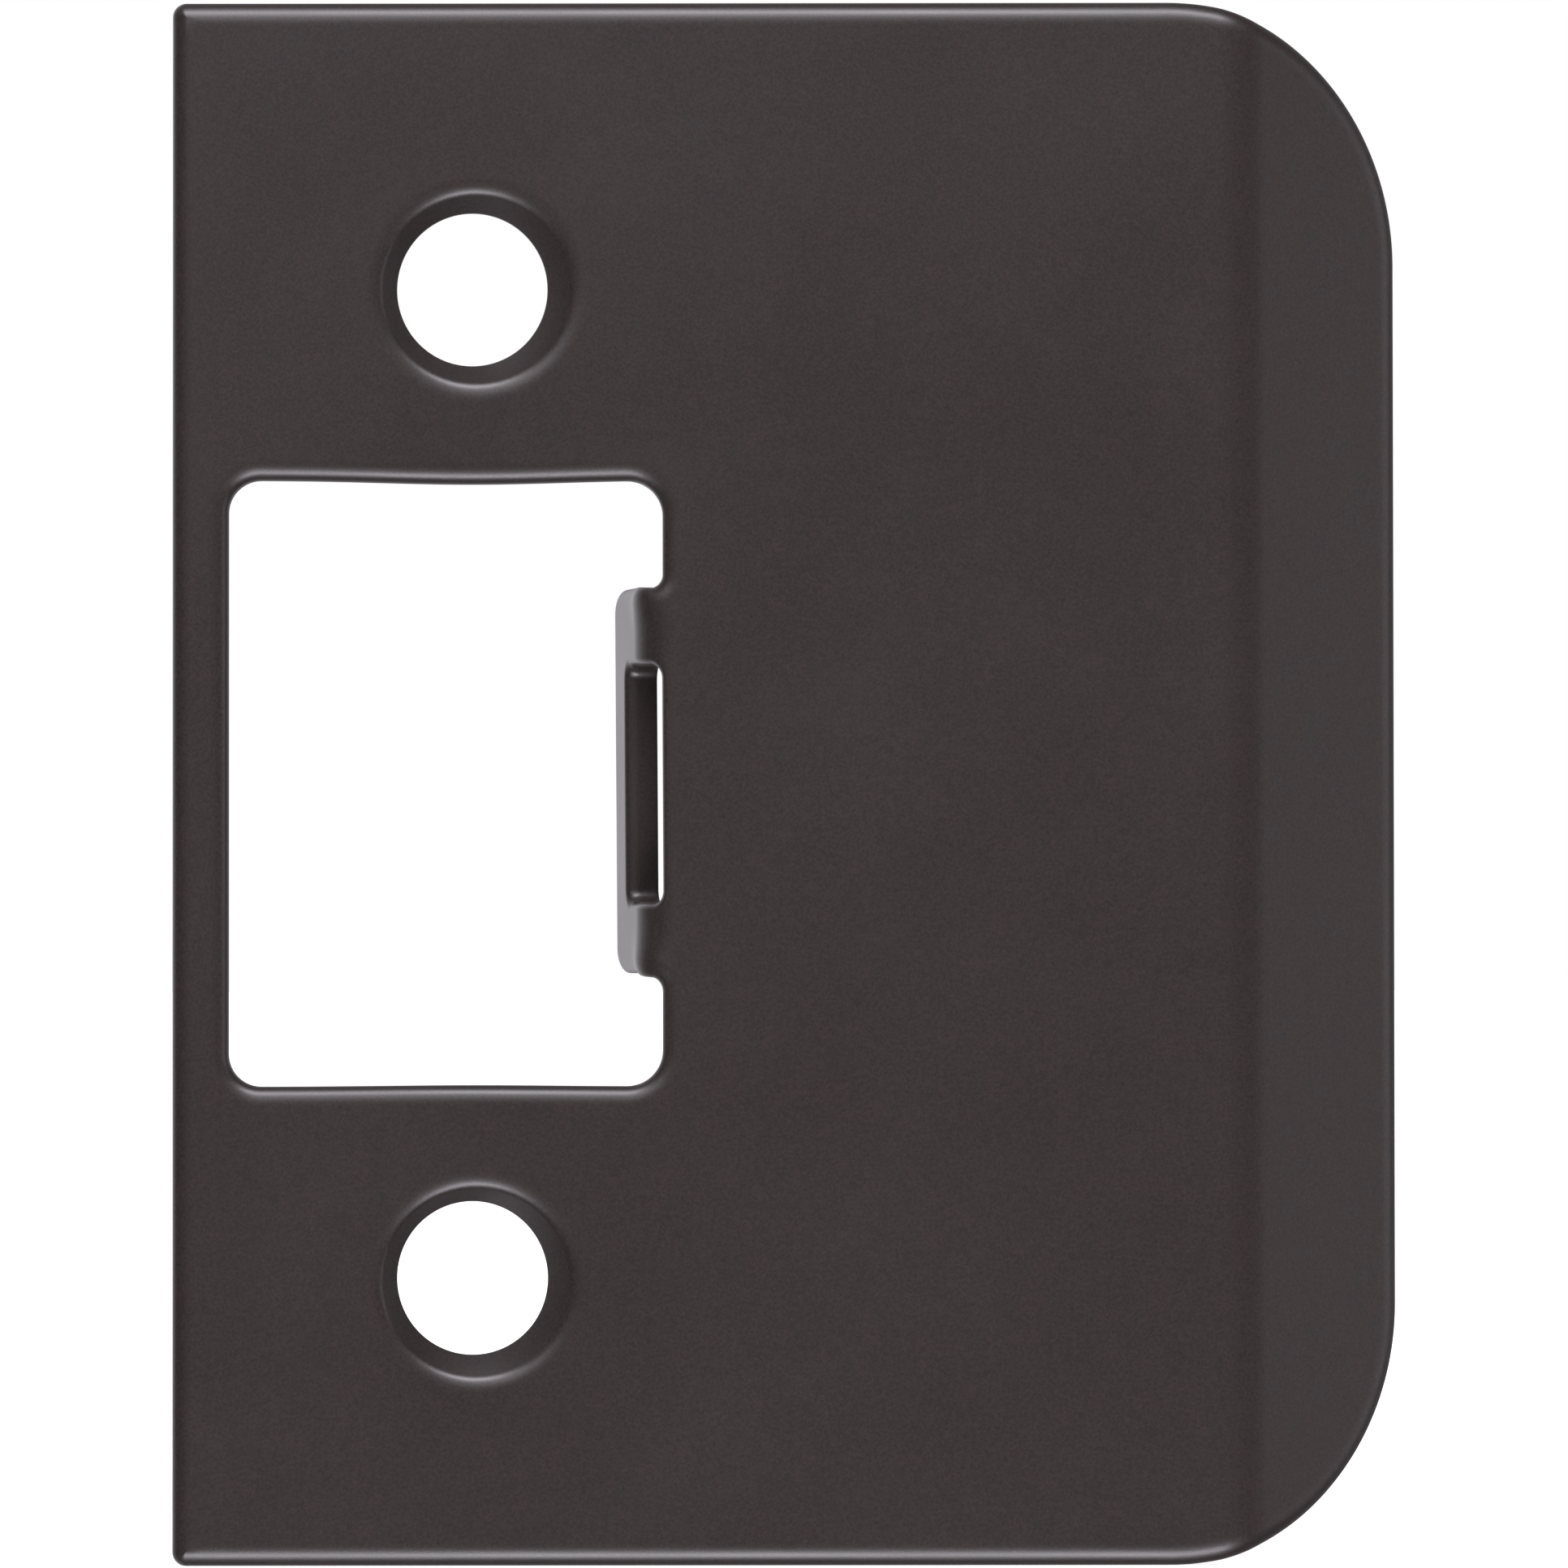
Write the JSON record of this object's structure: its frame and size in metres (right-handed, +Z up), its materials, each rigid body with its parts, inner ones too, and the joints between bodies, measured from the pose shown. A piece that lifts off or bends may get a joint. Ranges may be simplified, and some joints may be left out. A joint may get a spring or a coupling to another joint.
{
  "type": "full-lip latch strike plate",
  "caption": "Pressed steel latch strike with a wide bent lip, round lip corners, countersunk screw holes in line, a square latch opening and a slotted tang bent back.",
  "frame": {"origin": "on the back face of the plate, midway between the centres of the two screw holes", "axes": "+X across the plate from the jamb edge to the end of the lip, +Y from the visible face into the door jamb, +Z up along the edge of the door"},
  "size_m": [0.0452, 0.0053, 0.0572],
  "materials": {
    "satin_bronze_paint": "satin dark bronze paint over pressed steel, fine grain"
  },
  "bodies": {
    "root": {"strike_plate": "satin_bronze_paint"}
  },
  "joints": []
}
